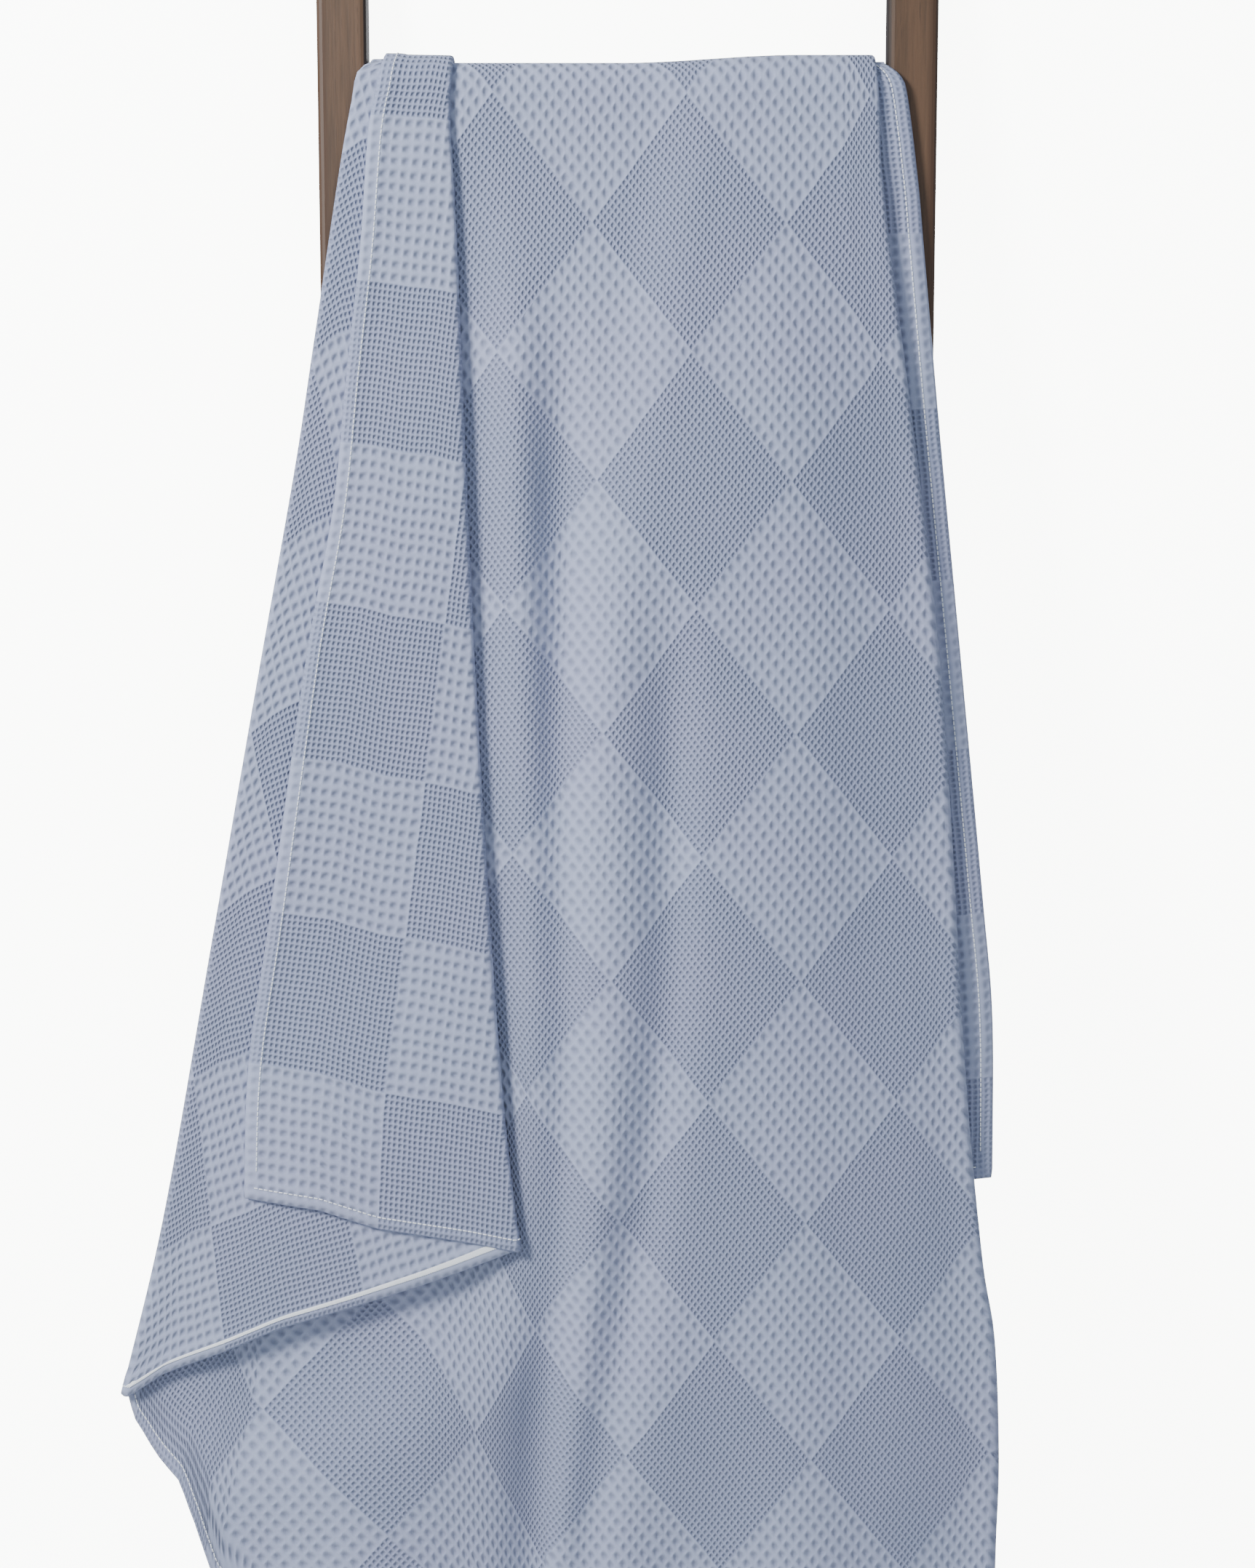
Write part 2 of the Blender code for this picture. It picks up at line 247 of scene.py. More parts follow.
def hidden_hem_drop(x):
    """Drop of the hidden layers' lower hem behind the main panel."""
    (x0, y0), (x1, y1) = BACK_FOLD[-1], RIGHT_FOLD[-1]
    return y0 + (np.maximum(x, x0) - x0) * (y1 - y0) / (x1 - x0)


def flap_hem_drop(x):
    """Drop of the second flap's hem in front of the main panel."""
    (x0, y0), (x1, y1) = FRONT_FOLD[-1], LEFT_FOLD[-1]
    return y0 + (np.minimum(x, x0) - x0) * (y1 - y0) / (x1 - x0)


def outline_x(outline, drop):
    """Where a side's outline lies at a drop."""
    return np.interp(drop, [p[1] for p in outline], [p[0] for p in outline])


def main_depth(x, drop):
    """Depth of the main panel: over the hidden layers at the right, with its hanging waves."""
    over_folds = ease((x - back_fold_x(np.minimum(drop, BACK_FOLD[-1][1])) + 0.075) / 0.06)
    above_hem = 1 - ease((drop - hidden_hem_drop(x) - 0.02) / 0.15)
    raised = (THIRD_LAYER - NEAR_RACK) * over_folds * above_hem
    right_edge = outline_x(RIGHT_FOLD, drop)
    beside_flap = ease((x - outline_x(FRONT_FOLD, drop) - 0.006) / 0.045)
    below_flap = ease((drop - flap_hem_drop(x) - 0.02) / 0.12)
    clear = np.maximum(beside_flap, below_flap)
    hung = ease(drop / 0.30)
    crown = WAVE_DEPTH * clear * hung * (1 - 0.8 * ease((x - right_edge + 0.11) / 0.10))
    left_valley = bump_at(x, -0.0550 - 0.024 * ease((drop - 0.75) / 0.5), 0.024)
    left_valley = left_valley * ease((drop - 0.12) / 0.22)
    right_valley = bump_at(x, 0.033 - 0.090 * ease((drop - 0.65) / 0.80), 0.022)
    right_valley = 0.60 * right_valley * ease((drop - 0.34) / 0.22)
    edge_valley = 0.30 * bump_at(x, 0.165 + 0.03 * drop, 0.040) * ease((drop - 0.25) / 0.4)
    valleys = WAVE_DEPTH * np.maximum(np.maximum(left_valley, right_valley), edge_valley)
    low = ease((drop - 0.95) / 0.35)
    swing = 0.0046 * low * (np.sin((x + 0.05 * drop) * math.tau / 0.19 + 0.7) + 1.0)
    slow = 0.0012 * (np.sin(x * 31 + drop * 7.0) * np.cos(drop * 11 - x * 6) + 1.0)
    hollowed = np.maximum(crown - clear * valleys, 0.0)
    return NEAR_RACK + raised + hollowed + clear * hung * slow + swing * clear


def place_cloth(x, drop, depth):
    """Row-frame points of cloth at a depth, down the front, over the rung or behind it."""
    over = np.clip(-drop / ARC_RADIUS, 0.0, ARC_LENGTH / ARC_RADIUS)
    front = np.maximum(drop, 0.0)
    back = np.maximum(-drop - ARC_LENGTH, 0.0)
    y = -np.cos(over) * depth
    z = TOP_RUNG + np.sin(over) * depth - front
    # Behind the rung the cloth hangs plumb, which is tilted away from the rack in its own axes.
    y = y + SIN * back
    z = z - COS * back
    return np.stack([x, y * COS + z * SIN, -y * SIN + z * COS], -1)


class Panels:
    """The five panels of the folded sheet, side by side, from one hem to the other."""

    def __init__(self):
        down = self.down = np.linspace(0, 1, FRONT_ROWS + 1)
        left_hem = with_fabric(LEFT_HEM, down, LEFT_HEM_TOP, LEFT_HEM_END)
        front_fold = with_fabric(FRONT_FOLD, down, FRONT_FOLD_TOP, FRONT_FOLD_END)
        left_fold = main_fold_with_fabric(LEFT_FOLD, down, LEFT_FOLD_END)
        right_fold = main_fold_with_fabric(RIGHT_FOLD, down, RIGHT_FOLD_END)
        back_fold = with_fabric(BACK_FOLD, down, BACK_FOLD_TOP, BACK_FOLD_END)
        right_hem = with_fabric(RIGHT_HEM, down, RIGHT_HEM_TOP, RIGHT_HEM_END)
        hidden_hem = (RIGHT_FOLD[-1], BACK_FOLD[-1])
        strip_hem = (BACK_FOLD[-1], RIGHT_HEM[-1])
        first, second, third, fourth, fifth = PANEL_COLUMNS
        self.front_flap = self.fill(left_hem, front_fold, FRONT_FLAP_HEM, first)
        self.second_flap = self.fill(front_fold, left_fold, SECOND_FLAP_HEM, second)
        self.main = self.fill(left_fold, right_fold, LOW_HEM, third, corner=(CLOTH_WIDTH, 0.0))
        self.slacken(self.main)
        self.hidden = self.fill(right_fold, back_fold, hidden_hem, fourth)
        self.right_strip = self.fill(back_fold, right_hem, strip_hem, fifth)

    def fill(self, left, right, bottom, columns, corner=None):
        across = np.linspace(0, 1, columns + 1)
        top = np.outer(1 - across, left[0]) + np.outer(across, right[0])
        if corner is None:
            low = with_fabric(bottom, across, left[-1, 2:], right[-1, 2:], straight=True)
        else:
            # The hem turns at the lowest corner, and a column ends on it.
            low = self.cornered_hem(bottom, left[-1, 2:], corner, right[-1, 2:], across)
        return blend_panel(top, low, left, right, across, self.down)

    @staticmethod
    def slacken(panel):
        """Lets the weave of the main panel's slack left corner fall square, not on the bias."""
        x, drop, u, v = (panel[..., k].copy() for k in range(4))
        across = np.linspace(0, 1, panel.shape[1])[None, :]
        slack = ease((-0.06 - x) / 0.12) * ease((drop - 0.70) / 0.15)
        slack = slack * ease(v / 0.04) * ease(across / 0.06)
        panel[..., 2] = u - slack * 0.226 * (x + 0.20)
        panel[..., 3] = v - slack * (0.041 + 0.212 * (x + 0.20))

    @staticmethod
    def cornered_hem(bottom, start, corner, end, across):
        points = np.asarray(bottom, float)
        turn = bottom.index(LOW_CORNER)
        lengths = [
            np.hypot(*np.diff(run, axis=0).T).sum() for run in (points[:turn + 1], points[turn:])
        ]
        share = round(lengths[0] / sum(lengths) * (len(across) - 1)) / (len(across) - 1)
        before = across <= share + 1e-9
        first = with_fabric(points[:turn + 1], across[before] / share, start, corner, True)
        rest = (across[~before] - share) / (1 - share)
        second = with_fabric(points[turn:], rest, corner, end, True)
        return np.vstack([first, second])

    def layers(self):
        """(panel, depth function) pairs from the left hem to the right one."""
        def level(depth):
            return lambda x, drop: np.full_like(x, depth)

        def stand(x, drop):
            spread = 0.3 + 0.7 * ease((x - outline_x(LEFT_FOLD, drop)) / 0.12)
            return FLAP_STAND * ease((drop - 0.66) / 0.34) * spread

        def second(x, drop):
            return SECOND_LAYER + stand(x, drop)

        def third(x, drop):
            bow = 0.0016 * np.sin(np.clip(drop / 0.95, 0, 1) * math.pi)
            return THIRD_LAYER + stand(x, drop) + bow + 0.0012 * np.sin(drop * 14 + x * 20)

        return (
            (self.front_flap, third), (self.second_flap, second), (self.main, main_depth),
            (self.hidden, level(SECOND_LAYER)), (self.right_strip, level(NEAR_RACK)),
        )


def extend_back(panel):
    """Adds the rows over the rung and behind it, which draw in to the back corner."""
    top = panel[0]
    end = -(ARC_LENGTH + BACK_DROP)
    arc = np.linspace(FRONT_TOP, -ARC_LENGTH, ARC_ROWS + 1)[1:]
    back = np.linspace(-ARC_LENGTH, end, BACK_ROWS + 1)[1:]
    rows = []
    for drop in np.r_[arc, back]:
        taper = BACK_TAPER * max(0.0, (-drop - ARC_LENGTH) / BACK_DROP)
        share = (FRONT_TOP - drop) / (FRONT_TOP - end)
        x = top[:, 0] * (1 - taper) + BACK_CORNER_X * taper
        fabric = top[:, 2:] * (1 - share) + np.array([0.0, CLOTH_LENGTH]) * share
        rows.append(np.column_stack([x, np.full_like(x, drop), fabric]))
    return np.concatenate([np.array(rows)[::-1], panel])


def draw_in_fold(before, after, outward):
    """Moves two layers' edges in from their shared outline, to leave room for the turn."""
    room = np.abs(after["depth"][:, 0] - before["depth"][:, -1]) / 2 + FOLD_SKIN
    for step in range(FOLD_EASE):
        move = outward * room * ease(1 - step / FOLD_EASE)
        before["x"][:, -1 - step] -= move
        after["x"][:, step] -= move


def fold_turn(before, after, outward):
    """Columns that round a fold between two layers, outward to the left (-1) or right (1)."""
    gap = np.abs(after["depth"][:, 0] - before["depth"][:, -1])
    start, end = before["depth"][:, -1], after["depth"][:, 0]
    columns = []
    for step in range(1, FOLD_STEPS):
        angle = math.pi * step / FOLD_STEPS
        x = before["x"][:, -1] + outward * gap / 2 * math.sin(angle)
        depth = start + (end - start) * (1 - math.cos(angle)) / 2
        columns.append((x, before["drop"][:, -1], depth, before["fabric"][:, -1]))
    return columns


def spread_fabric(points, fabric, first, last):
    """Runs the cloth's own measure evenly from one column to another, by length along each row."""
    run = np.linalg.norm(np.diff(points[:, first:last + 1], axis=1), axis=2).cumsum(1)
    share = np.hstack([np.zeros((len(run), 1)), run]) / run[:, -1:]
    start, end = fabric[:, first, None].copy(), fabric[:, last, None].copy()
    fabric[:, first:last + 1] = start + (end - start) * share[..., None]


def cloth_grid():
    """Points and fabric coordinates of the sheet's middle surface, as rows and columns."""
    strips = []
    for panel, depth_of in Panels().layers():
        rows = extend_back(panel)
        x, drop = rows[..., 0].copy(), rows[..., 1]
        depth = depth_of(x, np.maximum(drop, 0.0))
        strips.append({"x": x, "drop": drop, "depth": depth, "fabric": rows[..., 2:]})
    # From the rung back, the main panel climbs from under the left flaps to over the right ones.
    main = strips[2]
    behind = main["drop"] < 0.0
    across = np.linspace(0, 1, main["x"].shape[1])[None, :]
    climb = NEAR_RACK + (THIRD_LAYER - NEAR_RACK) * ease((across - 0.50) / 0.35)
    blend = ease(-main["drop"] / 0.02)
    main["depth"] = np.where(behind, main["depth"] * (1 - blend) + climb * blend, main["depth"])
    # The layers are pressed together where they lie on the rung.
    for strip in strips:
        pressed = 1 - ease((strip["drop"] - 0.004) / 0.09)
        strip["depth"] -= (strip["depth"] - NEAR_RACK) * RUNG_SQUEEZE * pressed

    turns = ((0, 1, 1), (1, 2, -1), (2, 3, 1), (3, 4, -1))
    for before, after, outward in turns:
        draw_in_fold(strips[before], strips[after], outward)
    columns, seams = [], []

    def take(strip, column):
        columns.append(tuple(strip[key][:, column] for key in ("x", "drop", "depth", "fabric")))

    for number, strip in enumerate(strips):
        for column in range(strip["x"].shape[1]):
            take(strip, column)
        if number < len(turns):
            before, after, outward = turns[number]
            start = len(columns) - 1
            columns += fold_turn(strips[before], strips[after], outward)
            seams.append((start - FOLD_EASE, len(columns) + FOLD_EASE))
    x, drop, depth, fabric = (np.stack(values, 1) for values in zip(*columns))
    points = place_cloth(x, drop, depth)
    for first, last in seams:
        spread_fabric(points, fabric, first, last)
    return points, fabric


def surface_normals(points):
    down = np.gradient(points, axis=0)
    across = np.gradient(points, axis=1)
    normals = np.cross(across, down)
    size = np.linalg.norm(normals, axis=-1, keepdims=True)
    normals = normals / np.maximum(size, 1e-12)
    return -normals if normals[normals.shape[0] // 2, 5, 1] > 0 else normals


def hem_distance(fabric):
    u, v = fabric[..., 0], fabric[..., 1]
    return np.minimum(np.minimum(u, CLOTH_WIDTH - u), np.minimum(v, CLOTH_LENGTH - v))


def add_object(name, data):
    made = bpy.data.objects.new(name, data)
    bpy.context.scene.collection.objects.link(made)
    return made


def close_mesh(bm, mesh):
    """Writes a bmesh to a mesh with its faces outward and its shading round."""
    bmesh.ops.recalc_face_normals(bm, faces=bm.faces)
    bm.to_mesh(mesh)
    bm.free()
    mesh.shade_smooth()


def take_result(worker):
    """The evaluated mesh of a working object, which is removed with its modifiers."""
    graph = bpy.context.evaluated_depsgraph_get()
    mesh = bpy.data.meshes.new_from_object(worker.evaluated_get(graph))
    mesh.transform(worker.matrix_world)
    bpy.data.objects.remove(worker, do_unlink=True)
    return mesh


class Value:
    """A shader socket that can be used in arithmetic."""

    def __init__(self, nodes, socket):
        self.nodes, self.socket = nodes, socket

    def __add__(self, other): return self.nodes.math("ADD", self, other)
    def __radd__(self, other): return self.nodes.math("ADD", other, self)
    def __sub__(self, other): return self.nodes.math("SUBTRACT", self, other)
    def __rsub__(self, other): return self.nodes.math("SUBTRACT", other, self)
    def __mul__(self, other): return self.nodes.math("MULTIPLY", self, other)
    def __rmul__(self, other): return self.nodes.math("MULTIPLY", other, self)
    def __truediv__(self, other): return self.nodes.math("DIVIDE", self, other)
    def __pow__(self, other): return self.nodes.math("POWER", self, other)


class Nodes:
    """Adds nodes to a material's tree."""

    def __init__(self, material):
        self.tree = material.node_tree
        self.shader = self.tree.nodes["Principled BSDF"]

    def feed(self, socket, value):
        if isinstance(value, Value):
            self.tree.links.new(value.socket, socket)
        elif value is not None:
            socket.default_value = value

    def add(self, kind, settings=None, inputs=None, output=0):
        node = self.tree.nodes.new(kind)
        for name, value in (settings or {}).items():
            setattr(node, name, value)
        for key, value in (inputs or {}).items():
            self.feed(node.inputs[key], value)
        return Value(self, node.outputs[output])

    def math(self, operation, *values):
        return self.add("ShaderNodeMath", {"operation": operation}, dict(enumerate(values)))

    def smooth(self, value, low, high):
        return self.add(
            "ShaderNodeMapRange", {"interpolation_type": "SMOOTHSTEP"},
            {"Value": value, "From Min": low, "From Max": high},
        )

    def mix(self, share, first, second):
        return self.add(
            "ShaderNodeMix", {"data_type": "RGBA"},
            {0: share, 6: rgba(first), 7: rgba(second)}, output=2,
        )

    def noise(self, vector, scale, detail=3.0, roughness=0.5):
        return self.add(
            "ShaderNodeTexNoise", None,
            {"Vector": vector, "Scale": scale, "Detail": detail, "Roughness": roughness},
        )

    def split(self, vector):
        node = self.tree.nodes.new("ShaderNodeSeparateXYZ")
        self.feed(node.inputs[0], vector)
        return [Value(self, output) for output in node.outputs]

    def bump(self, height, distance, strength=1.0):
        return self.add(
            "ShaderNodeBump", None,
            {"Height": height, "Distance": distance, "Strength": strength},
        )

    def output(self, name, value):
        self.feed(self.shader.inputs[name], value)


def new_material(name, roughness, metallic=0.0):
    material = bpy.data.materials.new(name)
    material.use_nodes = True
    nodes = Nodes(material)
    nodes.output("Roughness", roughness)
    nodes.output("Metallic", metallic)
    return material, nodes


def rgba(colour):
    return colour if isinstance(colour, Value) else (*colour, 1.0)


def finish_nodes(names, material):
    """Gives a material to CAD nodes through their slots."""
    for name in names:
        node = frame["nodes"][name]
        if not node.material_slots:
            node.data.materials.append(material)
        for slot in node.material_slots:
            slot.material = material


def weave_material(settings):
    """Waffle weave in a check of coarse and fine cells, on the cloth's own measure, with painted
    shade in its hollows and painted highlight on its puffs.
    """
    material, nodes = new_material("waffle_cotton", 0.92)
    nodes.output("Sheen Weight", 0.10)
    nodes.output("Sheen Roughness", 0.55)
    nodes.output("Specular IOR Level", 0.25)
    uv = nodes.add("ShaderNodeUVMap", {"uv_map": "fabric"})
    place = nodes.add("ShaderNodeTexCoord", output=3)
    u, v, _ = nodes.split(uv)
    stray = nodes.noise(uv, 34.0, 2.0)
    u_check = (u + CHECK_START) / CHECK
    v_check = (v + CHECK_START) / CHECK
    check_sum = nodes.math("FLOOR", u_check) + nodes.math("FLOOR", v_check)
    odd = nodes.math("FLOORED_MODULO", check_sum, 2.0)
    coarse = nodes.math("LESS_THAN", odd, 0.5)

    def cells(count_u, count_v, long_power, short_power):
        """The hollows of the cells, and the puffs where their ridges cross, which only get painted
        highlight.
        """
        wobble = (stray - 0.5) * 0.5
        a = nodes.math("ABSOLUTE", nodes.math("SINE", (u_check * count_u + wobble) * math.pi))
        b = nodes.math("ABSOLUTE", nodes.math("SINE", (v_check * count_v + wobble) * math.pi))
        return (a ** long_power) * (b ** short_power), (1 - a) * (1 - b)

    deep, puff_highlight = cells(settings.coarse_across, settings.coarse_along, 1.5, 2.7)
    shallow, _ = cells(settings.fine_across, settings.fine_along, 1.5, 1.9)
    # The hollows give the weave its relief, and also its painted shade.
    hollow = deep * coarse * 0.72 + shallow * (1 - coarse) * 0.70

    hem = nodes.math(
        "MINIMUM", nodes.math("MINIMUM", u, CLOTH_WIDTH - u),
        nodes.math("MINIMUM", v, CLOTH_LENGTH - v),
    )
    body = nodes.smooth(hem, 0.0075, 0.0100)
    hollow = hollow * (body * 0.40 + 0.60)

    colour = nodes.mix(coarse, settings.fine_colour, settings.coarse_colour)
    drift = nodes.noise(place, 7.0, 2.0)
    colour = nodes.mix(nodes.smooth(drift, 0.35, 0.68) * 0.35, colour, settings.warm_colour)
    fleck = nodes.noise(uv, 900.0, 2.0)
    colour = nodes.mix(nodes.smooth(fleck, 0.45, 0.75) * 0.22, colour, settings.fleck_and_highlight_colour)
    # Painted highlight on the puffs where the coarse cells' ridges cross.
    colour = nodes.mix(puff_highlight * coarse * 0.30, colour, settings.fleck_and_highlight_colour)
    # Painted shade: the hollows are darkened toward the hollow shade colour.
    colour = nodes.mix(hollow * 0.56, colour, settings.hollow_shade_colour)
    nodes.output("Base Color", colour)
    nodes.output("Roughness", 0.86 + 0.10 * fleck)

    fibres = nodes.noise(uv, 1500.0, 2.0)
    threads = nodes.math("SINE", (u + v) * 5200.0)
    fine_relief = nodes.bump(fibres * 0.6 + threads * 0.2, 0.00035, 0.6)
    relief = nodes.bump(1 - hollow, settings.weave_depth, 1.0)
    nodes.tree.links.new(fine_relief.socket, relief.socket.node.inputs["Normal"])
    nodes.output("Normal", relief)
    return material


def mottled_material(name, roughness, first, second, scale, detail=3.0, metallic=0.0):
    """A material that drifts between two colours, its nodes and the drift."""
    material, nodes = new_material(name, roughness, metallic)
    mottle = nodes.noise(nodes.add("ShaderNodeTexCoord", output=3), scale, detail)
    nodes.output("Base Color", nodes.mix(mottle, first, second))
    return material, nodes, mottle


def thread_material():
    material, nodes, twist = mottled_material(
        "white_thread", 0.7, (0.84, 0.87, 0.90), (0.94, 0.96, 0.98), 1400.0, 2.0)
    nodes.output("Normal", nodes.bump(twist, 0.0002, 0.6))
    return material


def wood_material(name, settings, along_x=False):
    """Stained wood with its grain along the rails or the rungs, and on the rails painted shade
    along their outer sides and inner edges.
    """
    material, nodes = new_material(name, 0.45)
    nodes.output("Coat Roughness", 0.32)
    place = nodes.add("ShaderNodeTexCoord", output=3)
    level = nodes.add(
        "ShaderNodeMapping", None, {"Vector": place, "Rotation": (LEAN, 0, 0)}
    )
    stretch = (3.0, 60.0, 60.0) if along_x else (60.0, 60.0, 3.0)
    grain_place = nodes.add(
        "ShaderNodeMapping", None, {"Vector": level, "Scale": stretch}
    )
    broad = nodes.noise(grain_place, 1.0, 4.0, 0.6)
    fine = nodes.noise(grain_place, 6.0, 3.0, 0.65)
    tone = nodes.smooth(broad * 0.6 + fine * 0.4, 0.34, 0.66)
    colour = nodes.mix(tone, settings.wood_dark, settings.wood_light)
    pores = nodes.smooth(fine, 0.60, 0.70)
    colour = nodes.mix(pores * 0.45, colour, settings.pore_colour_and_edge_shade)
    if not along_x:
        x, _, _ = nodes.split(level)
        low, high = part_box("right_rail")
        middle, half = (low[0] + high[0]) / 2, (high[0] - low[0]) / 2
        side = (nodes.math("ABSOLUTE", x) - middle) / half
        # Painted shade along the rails' outer sides, which face away from the light.
        outer = nodes.smooth(side + (fine - 0.5) * 0.12, 0.52, 0.72)
        colour = nodes.mix(outer * 0.85, colour, settings.outer_side_shade_colour)
        # Painted shade along the rails' inner rounded edges.
        inner = nodes.smooth((fine - 0.5) * 0.06 - side, 0.82, 0.93)
        colour = nodes.mix(inner * 0.92, colour, settings.pore_colour_and_edge_shade)
    nodes.output("Base Color", colour)
    nodes.output("Roughness", 0.50 + 0.20 * broad)
    nodes.output("Coat Weight", 0.01 + 0.03 * tone)
    nodes.output("Normal", nodes.bump(fine * 0.5 + broad * 0.5, 0.0006, 0.5))
    return material


def new_tree(name, inputs):
    """A geometry tree with named inputs, and its input node."""
    tree = bpy.data.node_groups.new(name, "GeometryNodeTree")
    for label, kind in (("Geometry", "Geometry"), *inputs, ("Material", "Material")):
        tree.interface.new_socket(label, in_out="INPUT", socket_type="NodeSocket" + kind)
    tree.interface.new_socket("Geometry", in_out="OUTPUT", socket_type="NodeSocketGeometry")
    return tree, tree.nodes.new("NodeGroupInput")


def place_object(tree, piece, points):
    """A node that sets copies of an object on points."""
    shape = tree.nodes.new("GeometryNodeObjectInfo")
    place = tree.nodes.new("GeometryNodeInstanceOnPoints")
    tree.links.new(piece, shape.inputs["Object"])
    tree.links.new(shape.outputs["Geometry"], place.inputs["Instance"])
    tree.links.new(points, place.inputs["Points"])
    return place


def end_tree(tree, start, result):
    """Makes a tree's result real, gives it the material and sends it out."""
    real = tree.nodes.new("GeometryNodeRealizeInstances")
    paint = tree.nodes.new("GeometryNodeSetMaterial")
    end = tree.nodes.new("NodeGroupOutput")
    tree.links.new(result, real.inputs["Geometry"])
    tree.links.new(real.outputs["Geometry"], paint.inputs["Geometry"])
    tree.links.new(start.outputs["Material"], paint.inputs["Material"])
    tree.links.new(paint.outputs["Geometry"], end.inputs["Geometry"])
    return tree


def thread_tree():
    """Sweeps a round thread along the edges of a line mesh."""
    tree, start = new_tree("overlock_thread", (("Thread radius", "Float"), ("Sides", "Int")))
    line = tree.nodes.new("GeometryNodeMeshToCurve")
    circle = tree.nodes.new("GeometryNodeCurvePrimitiveCircle")
    sweep = tree.nodes.new("GeometryNodeCurveToMesh")
    sweep.inputs["Fill Caps"].default_value = True
    link = tree.links.new
    link(start.outputs["Geometry"], line.inputs["Mesh"])
    link(start.outputs["Sides"], circle.inputs["Resolution"])
    link(start.outputs["Thread radius"], circle.inputs["Radius"])
    link(line.outputs["Curve"], sweep.inputs["Curve"])
    link(circle.outputs["Curve"], sweep.inputs["Profile Curve"])
    return end_tree(tree, start, sweep.outputs["Mesh"])


def stitch_tree():
    """Sets a stitch at even steps along the edges of a line mesh."""
    tree, start = new_tree("straight_stitches", (("Stitch", "Object"), ("Pitch", "Float")))
    line = tree.nodes.new("GeometryNodeMeshToCurve")
    points = tree.nodes.new("GeometryNodeCurveToPoints")
    points.mode = "LENGTH"
    link = tree.links.new
    link(start.outputs["Geometry"], line.inputs["Mesh"])
    link(line.outputs["Curve"], points.inputs["Curve"])
    link(start.outputs["Pitch"], points.inputs["Length"])
    place = place_object(tree, start.outputs["Stitch"], points.outputs["Points"])
    link(points.outputs["Rotation"], place.inputs["Rotation"])
    return end_tree(tree, start, place.outputs["Instances"])


def repeat_tree():
    """Sets a copy of a turned piece on every vertex of a mesh."""
    tree, start = new_tree("pieces_up_the_rack", (("Piece", "Object"),))
    place = place_object(tree, start.outputs["Piece"], start.outputs["Geometry"])
    return end_tree(tree, start, place.outputs["Instances"])


def run_tree(name, points, edges, tree, values):
    """Runs a node tree on a mesh of points and edges and returns the plain mesh."""
    mesh = bpy.data.meshes.new(name)
    mesh.from_pydata([tuple(p) for p in points], edges, [])
    worker = add_object(name + "_work", mesh)
    modifier = worker.modifiers.new("nodes", "NODES")
    modifier.node_group = tree
    for item in tree.interface.items_tree:
        if item.in_out == "INPUT" and item.name in values:
            modifier[item.identifier] = values[item.name]
    return take_result(worker)


def turned_piece(name, profile, sides):
    """A working object: a solid turned about X, with rounded shading."""
    bm = bmesh.new()
    points = [bm.verts.new((x, radius, 0.0)) for x, radius in profile]
    edges = [bm.edges.new(pair) for pair in zip(points, points[1:])]
    bmesh.ops.spin(
        bm, geom=points + edges, cent=(0, 0, 0), axis=(1, 0, 0), angle=math.tau, steps=sides,
        use_merge=True,
    )
    bmesh.ops.remove_doubles(bm, verts=bm.verts, dist=1e-6)
    mesh = bpy.data.meshes.new(name)
    close_mesh(bm, mesh)
    return add_object(name, mesh)


def rounded_ends(half_length, radius, edge, steps=4):
    """Half of a turned profile with a rounded edge, as (x, radius) out to its end."""
    turn = [math.pi / 2 * k / steps for k in range(steps + 1)]
    rim = [
        (half_length - edge + edge * math.sin(a), radius - edge + edge * math.cos(a)) for a in turn
    ]
    return rim + [(half_length, 0.0)]


def both_ends(half):
    """The whole turned profile, from half of it."""
    return [(-x, radius) for x, radius in reversed(half)] + half


def inset_line(points, normals, fabric, inset, lift):
    """Lines that follow the hems at a distance in from the edge, lifted off the cloth's middle."""
    rows, columns = fabric.shape[:2]
    u, v = fabric[..., 0], fabric[..., 1]
    raised = points + normals * lift

    def cross(values, target, along):
        order = np.argsort(values)
        share = np.interp(target, values[order], order)
        low = int(np.clip(math.floor(share), 0, len(values) - 2))
        part = share - low
        return along[low] * (1 - part) + along[low + 1] * part

    lines = []
    beside = range(rows - HEM_END_ROWS)
    lines.append([
        cross(u[r, :HEM_COLUMNS], inset, raised[r, :HEM_COLUMNS])
        for r in beside if v[r, 0] > inset
    ])
    lines.append([
        cross(v[r, -HEM_COLUMNS:], CLOTH_LENGTH - inset, raised[r, -HEM_COLUMNS:])
        for r in beside if u[r, -1] < CLOTH_WIDTH - inset
    ])
    low, high = [], []
    near = slice(-HEM_ROWS, None)
    for c in range(columns):
        if v[-1, c] < 1e-6 and inset < u[-1, c] < CLOTH_WIDTH - inset:
            low.append(cross(v[near, c], inset, raised[near, c]))
        elif u[-1, c] > CLOTH_WIDTH - 1e-6 and inset < v[-1, c] < CLOTH_LENGTH - inset:
            high.append(cross(u[near, c], CLOTH_WIDTH - inset, raised[near, c]))
    lines += [low, high]
    return [np.array(line) for line in lines if len(line) > 2]


def even_steps(line, pitch=None, count=None):
    """Points at even steps along a line, by their pitch or their number."""
    run = np.r_[0, np.cumsum(np.linalg.norm(np.diff(line, axis=0), axis=1))]
    count = count or max(2, int(run[-1] / pitch))
    wanted = np.linspace(0, run[-1], count)
    return np.stack([np.interp(wanted, run, line[:, k]) for k in range(3)], 1)


def number_property(name, description, default, unit="NONE"):
    return bpy.props.FloatProperty(
        name=name, description=description, default=default, unit=unit)


def length_property(name, description, default):
    return number_property(name, description, default, unit="LENGTH")


def colour_property(name, description, default):
    return bpy.props.FloatVectorProperty(
        name=name, description=description, subtype="COLOR", size=3, default=default)


